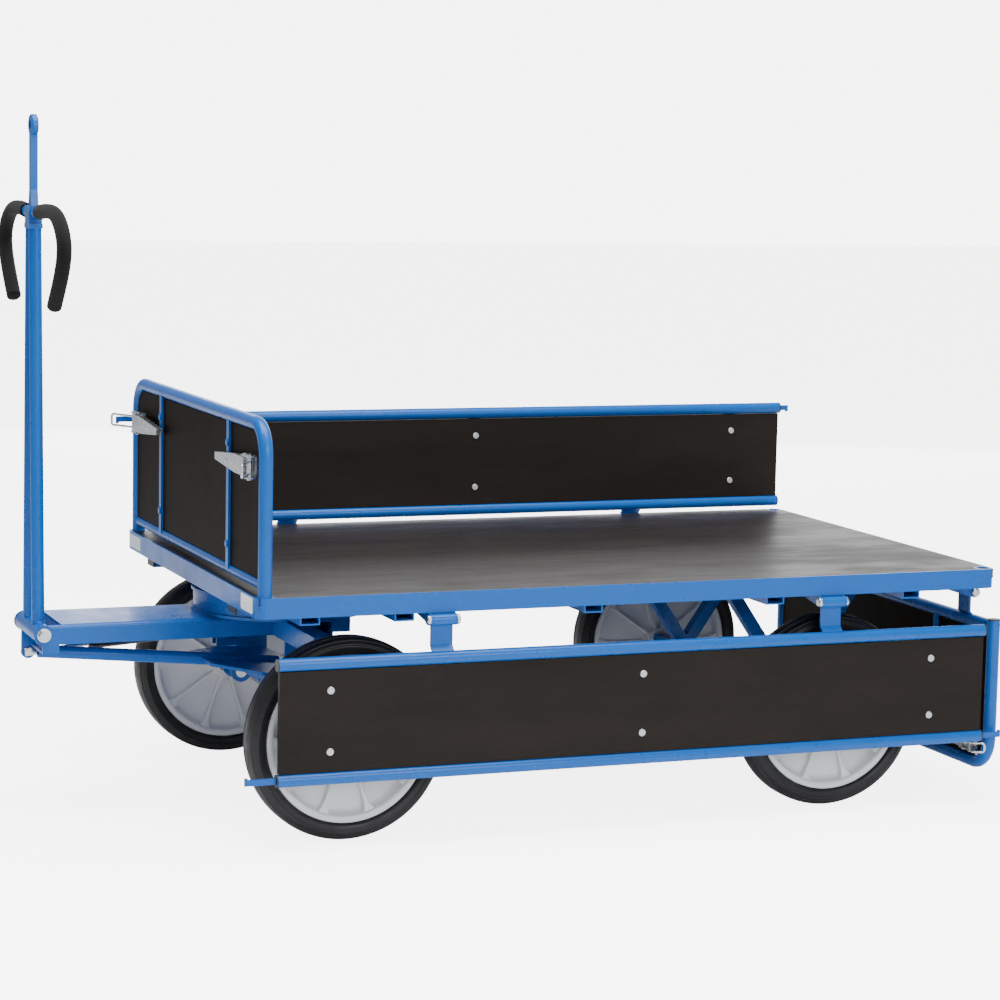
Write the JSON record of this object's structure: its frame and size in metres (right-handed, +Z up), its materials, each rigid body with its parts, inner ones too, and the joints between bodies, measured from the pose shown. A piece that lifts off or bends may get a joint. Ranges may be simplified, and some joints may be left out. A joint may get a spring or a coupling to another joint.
{
  "type": "platform hand truck",
  "caption": "Four-wheeled platform hand truck with turntable steering, an upright drawbar, a front wall and hinged drop sides.",
  "frame": {"origin": "on the floor, under the centre of the truck's bounding box", "axes": "+X forward towards the drawbar, +Y to the truck's left, +Z up"},
  "size_m": [1.9624, 1.0436, 1.3885],
  "materials": {
    "blue_paint": "gloss",
    "deck_board": "satin",
    "wall_board": "satin",
    "tyre": "matt",
    "rim_plastic": "matt",
    "black_plastic": "matt",
    "grip_foam": "matt",
    "zinc_steel": "zinc plated",
    "black_steel": "satin"
  },
  "bodies": {
    "chassis": {"deck_frame": "blue_paint", "bed_panel": "deck_board", "chassis_beams": "blue_paint", "beam_end_caps": "black_plastic", "cross_members": "blue_paint", "turntable_upper_ring": "black_steel", "king_bolt": "zinc_steel", "rear_axle_frame": "blue_paint", "rear_axle_stubs": "black_steel", "hinge_brackets": "blue_paint", "hinge_pins": "zinc_steel", "front_wall_frame": "blue_paint", "front_wall_panel": "wall_board", "front_wall_screws": "zinc_steel", "front_latch_bases": "zinc_steel"},
    "carriage": {"turntable_lower_ring": "black_steel", "drawbar_channel": "blue_paint", "front_axle_frame": "blue_paint", "front_axle_stubs": "black_steel", "nose_strut": "blue_paint", "pivot_bolt": "zinc_steel"},
    "drawbar": {"drawbar_knuckle": "blue_paint", "drawbar_shafts": "blue_paint", "towing_eye": "zinc_steel", "handlebar": "blue_paint", "handle_grips": "grip_foam"},
    "spring_rod": {"spring_rod": "zinc_steel"},
    "spring_cylinder": {"spring_cylinder": "black_steel"},
    "left_flap": {"left_flap_rails": "blue_paint", "left_flap_panel": "wall_board", "left_flap_bolts": "zinc_steel", "left_flap_caps": "black_plastic", "left_flap_straps": "blue_paint"},
    "right_flap": {"right_flap_rails": "blue_paint", "right_flap_panel": "wall_board", "right_flap_bolts": "zinc_steel", "right_flap_caps": "black_plastic", "right_flap_straps": "blue_paint"},
    "rear_flap": {"rear_flap_frame": "blue_paint", "rear_flap_panel": "wall_board", "rear_flap_screws": "zinc_steel", "rear_flap_caps": "black_plastic", "rear_flap_straps": "blue_paint", "rear_latch_bases": "zinc_steel"},
    "wheel_front_left": {"tyre_front_left": "tyre", "rim_front_left": "rim_plastic"},
    "latch_handle_front_left": {"latch_handle_front_left": "zinc_steel"},
    "latch_claw_front_left": {"latch_claw_front_left": "zinc_steel"},
    "wheel_front_right": {"tyre_front_right": "tyre", "rim_front_right": "rim_plastic"},
    "latch_handle_front_right": {"latch_handle_front_right": "zinc_steel"},
    "latch_claw_front_right": {"latch_claw_front_right": "zinc_steel"},
    "wheel_rear_left": {"tyre_rear_left": "tyre", "rim_rear_left": "rim_plastic"},
    "latch_handle_rear_left": {"latch_handle_rear_left": "zinc_steel"},
    "latch_claw_rear_left": {"latch_claw_rear_left": "zinc_steel"},
    "wheel_rear_right": {"tyre_rear_right": "tyre", "rim_rear_right": "rim_plastic"},
    "latch_handle_rear_right": {"latch_handle_rear_right": "zinc_steel"},
    "latch_claw_rear_right": {"latch_claw_rear_right": "zinc_steel"}
  },
  "joints": [
    {"name": "steering", "type": "hinge", "parent": "chassis", "child": "carriage", "pos_m": [0.44425, -0.00171, 0.387], "axis": [0, 0, 1], "range_deg": [-45, 45]},
    {"name": "drawbar_tilt", "type": "hinge", "parent": "carriage", "child": "drawbar", "pos_m": [0.96125, -0.00171, 0.367], "axis": [0, 1, 0], "range_deg": [0, 90], "stiffness_Nm_per_rad": 24, "springref_deg": -20.05},
    {"name": "spring_rod_swing", "type": "hinge", "parent": "drawbar", "child": "spring_rod", "pos_m": [0.96525, -0.03771, 0.313], "axis": [0, 1, 0], "range_deg": [-98.19, 1]},
    {"name": "spring_slide", "type": "slide", "parent": "spring_rod", "child": "spring_cylinder", "axis": [-0.9971, 0, 0.0758], "range_m": [-0.05977, 0.001]},
    {"name": "wheel_front_left_spin", "type": "hinge", "parent": "carriage", "child": "wheel_front_left", "pos_m": [0.44425, 0.42329, 0.2], "axis": [0, 1, 0], "continuous": true},
    {"name": "wheel_front_right_spin", "type": "hinge", "parent": "carriage", "child": "wheel_front_right", "pos_m": [0.44425, -0.42671, 0.2], "axis": [0, 1, 0], "continuous": true},
    {"name": "wheel_rear_left_spin", "type": "hinge", "parent": "chassis", "child": "wheel_rear_left", "pos_m": [-0.60275, 0.42329, 0.2], "axis": [0, 1, 0], "continuous": true},
    {"name": "wheel_rear_right_spin", "type": "hinge", "parent": "chassis", "child": "wheel_rear_right", "pos_m": [-0.60275, -0.42671, 0.2], "axis": [0, 1, 0], "continuous": true},
    {"name": "left_flap_hinge", "type": "hinge", "parent": "chassis", "child": "left_flap", "pos_m": [-0.15575, 0.50529, 0.437], "axis": [1, 0, 0], "range_deg": [0, 180]},
    {"name": "right_flap_hinge", "type": "hinge", "parent": "chassis", "child": "right_flap", "pos_m": [-0.15575, -0.50871, 0.437], "axis": [1, 0, 0], "range_deg": [0, 180]},
    {"name": "rear_flap_hinge", "type": "hinge", "parent": "chassis", "child": "rear_flap", "pos_m": [-0.96925, -0.00171, 0.424], "axis": [0, 1, 0], "range_deg": [0, 180]},
    {"name": "latch_handle_front_left_swing", "type": "hinge", "parent": "chassis", "child": "latch_handle_front_left", "pos_m": [0.64425, 0.41029, 0.733], "axis": [0, 0, 1], "range_deg": [0, 95]},
    {"name": "latch_claw_front_left_swing", "type": "hinge", "parent": "chassis", "child": "latch_claw_front_left", "pos_m": [0.64425, 0.43829, 0.733], "axis": [0, 0, -1], "range_deg": [-28, 62]},
    {"name": "latch_handle_front_right_swing", "type": "hinge", "parent": "chassis", "child": "latch_handle_front_right", "pos_m": [0.64425, -0.41371, 0.733], "axis": [0, 0, -1], "range_deg": [0, 95]},
    {"name": "latch_claw_front_right_swing", "type": "hinge", "parent": "chassis", "child": "latch_claw_front_right", "pos_m": [0.64425, -0.44171, 0.733], "axis": [0, 0, 1], "range_deg": [-28, 62]},
    {"name": "latch_handle_rear_left_swing", "type": "hinge", "parent": "rear_flap", "child": "latch_handle_rear_left", "pos_m": [-0.94775, 0.41029, 0.115], "axis": [0, 0, 1], "range_deg": [0, 76]},
    {"name": "latch_claw_rear_left_swing", "type": "hinge", "parent": "rear_flap", "child": "latch_claw_rear_left", "pos_m": [-0.94775, 0.43829, 0.115], "axis": [0, 0, -1], "range_deg": [-30, 60]},
    {"name": "latch_handle_rear_right_swing", "type": "hinge", "parent": "rear_flap", "child": "latch_handle_rear_right", "pos_m": [-0.94775, -0.41371, 0.115], "axis": [0, 0, -1], "range_deg": [0, 76]},
    {"name": "latch_claw_rear_right_swing", "type": "hinge", "parent": "rear_flap", "child": "latch_claw_rear_right", "pos_m": [-0.94775, -0.44171, 0.115], "axis": [0, 0, 1], "range_deg": [-30, 60]}
  ],
  "couplings": [
    {"joint": "spring_rod_swing", "follows": "drawbar_tilt", "ratio": -1.0798},
    {"joint": "spring_slide", "follows": "drawbar_tilt", "m_per_rad": -0.037413}
  ]
}
